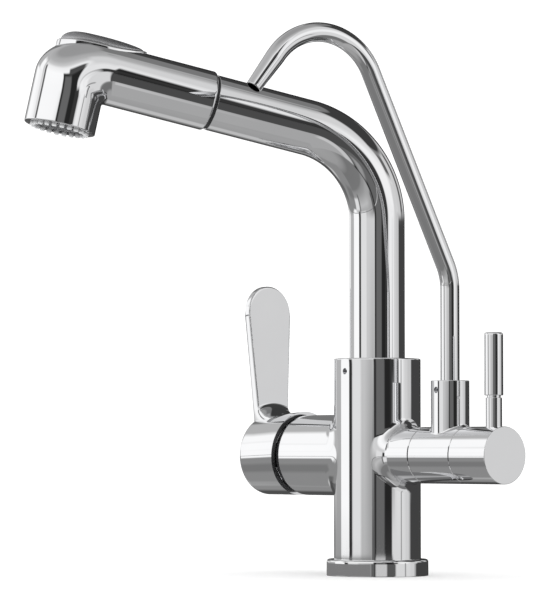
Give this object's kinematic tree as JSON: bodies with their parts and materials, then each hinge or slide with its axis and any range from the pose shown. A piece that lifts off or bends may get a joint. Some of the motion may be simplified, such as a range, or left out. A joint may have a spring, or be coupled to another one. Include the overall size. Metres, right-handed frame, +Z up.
{
  "type": "kitchen mixer tap",
  "caption": "Chromed kitchen mixer tap with a side lever, a bent spout with pull-out spray head and rocker button, and a separate arched filter spout with its own quarter-turn valve.",
  "frame": {"origin": "centre of the base on the worktop", "axes": "+Z up along the body, +X towards the filter valve, -X towards the mixer lever, -Y towards the user"},
  "size_m": [0.2056, 0.223, 0.3081],
  "materials": {
    "chrome": "polished chrome plate",
    "satin_chrome": "satin chrome plate",
    "brass": "turned brass",
    "steel": "plain stainless steel",
    "rubber": "moulded rubber",
    "silicone": "soft grey silicone",
    "black_plastic": "moulded acetal",
    "grey_plastic": "moulded ABS",
    "white_plastic": "moulded acetal",
    "hose": "braided nylon sleeve"
  },
  "bodies": {
    "tap_body": {"base_flange": "chrome", "base_gasket": "rubber", "main_body": "chrome", "inlet_block": "brass", "hose_guide_bush": "white_plastic", "mixer_cartridge": "white_plastic", "cartridge_seal": "rubber", "cartridge_nut": "brass", "trim_ring": "black_plastic", "filter_nipple": "brass", "filter_valve_housing": "chrome", "filter_headwork": "brass", "filter_set_screw": "steel", "spout_thrust_washer": "white_plastic", "spout_lower_bush": "white_plastic", "spout_upper_bush": "white_plastic", "spout_set_screw": "steel"},
    "mixer_rotor": {"cartridge_rotor": "white_plastic", "pivot_pin": "steel"},
    "mixer_lever": {"cartridge_stem": "brass", "lever_handle": "chrome", "lever_grub_screw": "steel", "lever_plug": "chrome"},
    "filter_valve": {"filter_stem": "brass", "filter_knob": "chrome", "knob_grub_screw": "steel", "filter_lever_stem": "chrome", "filter_lever_grip": "chrome"},
    "filter_spout": {"filter_spout_tube": "chrome", "filter_spigot": "brass", "filter_o_rings": "rubber"},
    "spout": {"spout_tube": "chrome", "spout_collar": "brass", "dock_collar": "black_plastic", "pull_out_hose": "hose"},
    "spray_head": {"head_shell": "chrome", "rocker_bezel": "chrome", "rocker_pin": "steel", "diverter_block": "white_plastic", "head_inlet": "white_plastic", "check_valve": "white_plastic", "head_waterway": "white_plastic", "hose_nut": "brass", "spray_plate": "grey_plastic", "nozzle_mat": "silicone", "aerator": "grey_plastic"},
    "rocker": {"rocker_button": "satin_chrome"},
    "diverter": {"diverter_spool": "white_plastic"}
  },
  "joints": [
    {"name": "mixer_temperature", "type": "hinge", "parent": "tap_body", "child": "mixer_rotor", "pos_m": [-0.054, 0, 0.069], "axis": [1, 0, 0], "range_deg": [-45, 45]},
    {"name": "mixer_flow", "type": "hinge", "parent": "mixer_rotor", "child": "mixer_lever", "pos_m": [-0.054, 0, 0.069], "axis": [0, -1, 0], "range_deg": [0, 14]},
    {"name": "filter_turn", "type": "hinge", "parent": "tap_body", "child": "filter_valve", "pos_m": [0.0962, 0, 0.069], "axis": [1, 0, 0], "range_deg": [0, 90]},
    {"name": "filter_spout_swivel", "type": "hinge", "parent": "tap_body", "child": "filter_spout", "pos_m": [0.061, 0, 0.1], "axis": [0, 0, 1], "range_deg": [-10, 120]},
    {"name": "spout_swivel", "type": "hinge", "parent": "tap_body", "child": "spout", "pos_m": [0, 0, 0.11], "axis": [0, 0, 1], "range_deg": [-120, 15]},
    {"name": "head_pull_out", "type": "slide", "parent": "spout", "child": "spray_head", "axis": [-0.377, -0.9014, 0.213], "range_m": [0, 0.4], "deforming": ["pull_out_hose"]},
    {"name": "rocker_tilt", "type": "hinge", "parent": "spray_head", "child": "rocker", "pos_m": [-0.06362, -0.1521, 0.29633], "axis": [0.9225, -0.3859, 0], "range_deg": [-4, 4]},
    {"name": "diverter_slide", "type": "slide", "parent": "spray_head", "child": "diverter", "axis": [-0.0822, -0.1965, -0.977], "range_m": [-0.0008, 0.0008]}
  ],
  "couplings": [
    {"joint": "diverter_slide", "follows": "rocker_tilt", "m_per_rad": 0.01}
  ]
}
